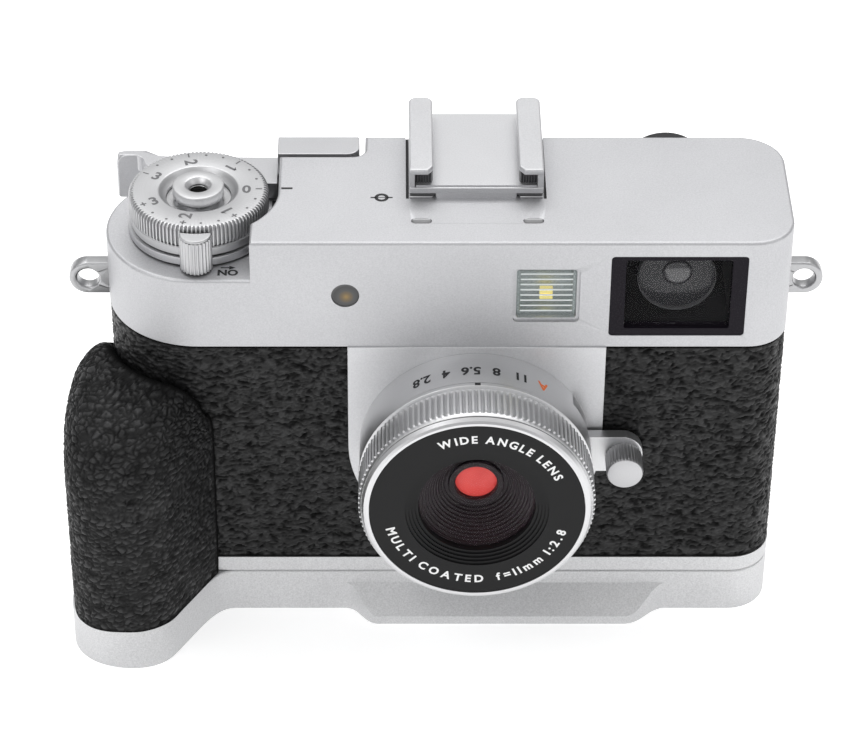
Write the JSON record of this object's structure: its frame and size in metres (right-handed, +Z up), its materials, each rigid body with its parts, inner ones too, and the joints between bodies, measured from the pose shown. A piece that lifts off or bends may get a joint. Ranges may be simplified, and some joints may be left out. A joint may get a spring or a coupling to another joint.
{
  "type": "rangefinder camera",
  "caption": "Compact silver and black rangefinder-style digital camera with fixed prime lens, accessory shoe, dials and levers, on a screwed-on grip plate.",
  "frame": {"origin": "centre of the tripod socket's mouth on the underside of the grip plate, under the lens axis", "axes": "+Z up; the lens looks along -Y; +X is to the right as seen from the front, the dial and grip are on -X"},
  "size_m": [0.1192, 0.0515, 0.0786],
  "materials": {
    "silver": "fine blasted satin",
    "chassis": "cast alloy, painted inside",
    "body_leather": "black grained covering",
    "grip_leather": "black pebbled covering",
    "black_plastic": "matt black",
    "steel": "plated",
    "brass": "turned",
    "battery_label": "plastic sleeve",
    "card_plastic": "moulded",
    "circuit_board": "solder mask",
    "sensor": "glazed package",
    "screen_panel": "dark screen",
    "screen_glass": "polished",
    "finder_black": "satin black",
    "window_glass": "polished",
    "rubber": "moulded rubber",
    "led_yellow": "phosphor",
    "shoe_metal": "satin plated",
    "dial_metal": "fine turned satin",
    "lens_silver": "turned satin",
    "lens_black": "anodised black",
    "front_glass": "coated",
    "coated_glass": "coral coating",
    "button_black": "satin black"
  },
  "bodies": {
    "camera": {"top_cover": "silver", "body_shell": "chassis", "front_leather": "body_leather", "lens_plate": "silver", "rear_cover": "silver", "rear_leather": "body_leather", "bottom_cover": "silver", "base_plate": "silver", "base_mount_screw": "steel", "camera_socket": "brass", "grip_leather": "grip_leather", "grip_core": "black_plastic", "grip_screws": "steel", "door_pin": "steel", "battery_chamber": "black_plastic", "battery": "battery_label", "memory_card": "card_plastic", "main_board": "circuit_board", "image_sensor": "sensor", "lcd_panel": "screen_panel", "lcd_glass": "screen_glass", "rear_screws": "steel", "viewfinder_bezel": "finder_black", "viewfinder_window": "window_glass", "viewfinder_box": "black_plastic", "viewfinder_objective": "window_glass", "eyepiece_housing": "finder_black", "eyepiece_lens": "window_glass", "eyecup": "rubber", "led_window": "window_glass", "led_reflector": "black_plastic", "led_chips": "led_yellow", "lamp_window": "window_glass", "lamp_led": "black_plastic", "accessory_shoe": "shoe_metal", "shoe_screws": "steel", "shoe_spring": "steel", "microphones": "black_plastic", "dial_post": "black_plastic", "strap_lug_left": "steel", "strap_lug_right": "steel", "lens_barrel": "lens_silver", "front_bezel": "lens_silver", "name_ring": "lens_black", "front_glass": "front_glass", "lens_baffle": "lens_black", "front_element": "coated_glass", "iris": "lens_black", "rear_lens_group": "lens_black"},
    "exposure_dial": {"exposure_dial": "dial_metal"},
    "shutter_button": {"shutter_button": "dial_metal", "shutter_spring": "steel"},
    "power_switch": {"power_switch": "dial_metal"},
    "advance_lever": {"advance_lever": "dial_metal"},
    "aperture_ring": {"aperture_ring": "lens_silver"},
    "focus_lever": {"focus_ring": "lens_silver", "focus_knob": "lens_silver"},
    "playback_button": {"playback_button": "button_black"},
    "menu_button": {"menu_button": "button_black"},
    "battery_door": {"battery_door": "silver"}
  },
  "joints": [
    {"name": "exposure_dial_turn", "type": "hinge", "parent": "camera", "child": "exposure_dial", "pos_m": [-0.043, 0, 0.0715], "axis": [0, 0, 1], "range_deg": [-153, 153]},
    {"name": "shutter_press", "type": "slide", "parent": "camera", "child": "shutter_button", "axis": [0, 0, 1], "range_m": [-0.0008, 0], "stiffness_N_per_m": 500, "springref_m": 0.001, "deforming": ["shutter_spring"]},
    {"name": "power_switch_turn", "type": "hinge", "parent": "camera", "child": "power_switch", "pos_m": [-0.043, 0, 0.0687], "axis": [0, 0, 1], "range_deg": [0, 25]},
    {"name": "advance_lever_swing", "type": "hinge", "parent": "camera", "child": "advance_lever", "pos_m": [-0.043, 0, 0.0671], "axis": [0, 0, 1], "range_deg": [0, 60], "stiffness_Nm_per_rad": 0.005, "springref_deg": -17.19},
    {"name": "aperture_ring_turn", "type": "hinge", "parent": "camera", "child": "aperture_ring", "pos_m": [0, -0.0264, 0.0345], "axis": [0, -1, 0], "range_deg": [-34, 28]},
    {"name": "focus_lever_turn", "type": "hinge", "parent": "camera", "child": "focus_lever", "pos_m": [0, -0.0173, 0.0345], "axis": [0, -1, 0], "range_deg": [-20, 20]},
    {"name": "playback_button_press", "type": "slide", "parent": "camera", "child": "playback_button", "axis": [0, -1, 0], "range_m": [0, 0.0005], "stiffness_N_per_m": 500, "springref_m": -0.001},
    {"name": "menu_button_press", "type": "slide", "parent": "camera", "child": "menu_button", "axis": [0, -1, 0], "range_m": [0, 0.0005], "stiffness_N_per_m": 500, "springref_m": -0.001},
    {"name": "battery_door_swing", "type": "hinge", "parent": "camera", "child": "battery_door", "pos_m": [0.0295, 0.008, 0.00935], "axis": [1, 0, 0], "range_deg": [0, 95]}
  ]
}
